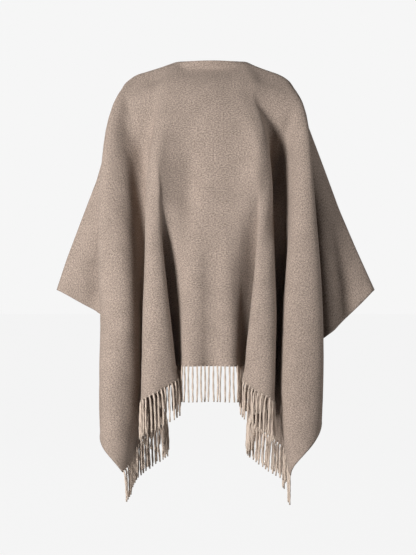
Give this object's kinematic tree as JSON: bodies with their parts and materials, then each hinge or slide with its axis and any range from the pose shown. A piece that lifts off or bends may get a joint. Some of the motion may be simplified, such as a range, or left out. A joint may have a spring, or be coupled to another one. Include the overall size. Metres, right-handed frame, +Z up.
{
  "type": "cape",
  "caption": "Open-front woollen cape with a fringed hem, in the form it takes when worn, empty so that a figure can stand inside it.",
  "frame": {"origin": "middle of the neck edge at the height of the shoulder line, where the wearer's shoulders carry the cape", "axes": "+Z up, -Y the way the wearer faces, so the back is on the +Y side, and +X the wearer's left"},
  "size_m": [0.7763, 0.2973, 1.061],
  "materials": {
    "wool": "matt brushed wool",
    "yarn": "matt twisted wool yarn"
  },
  "bodies": {
    "root": {"back": "wool", "front_left": "wool", "front_right": "wool", "fringe_back": "yarn", "fringe_front_left": "yarn", "fringe_front_right": "yarn"}
  },
  "joints": []
}
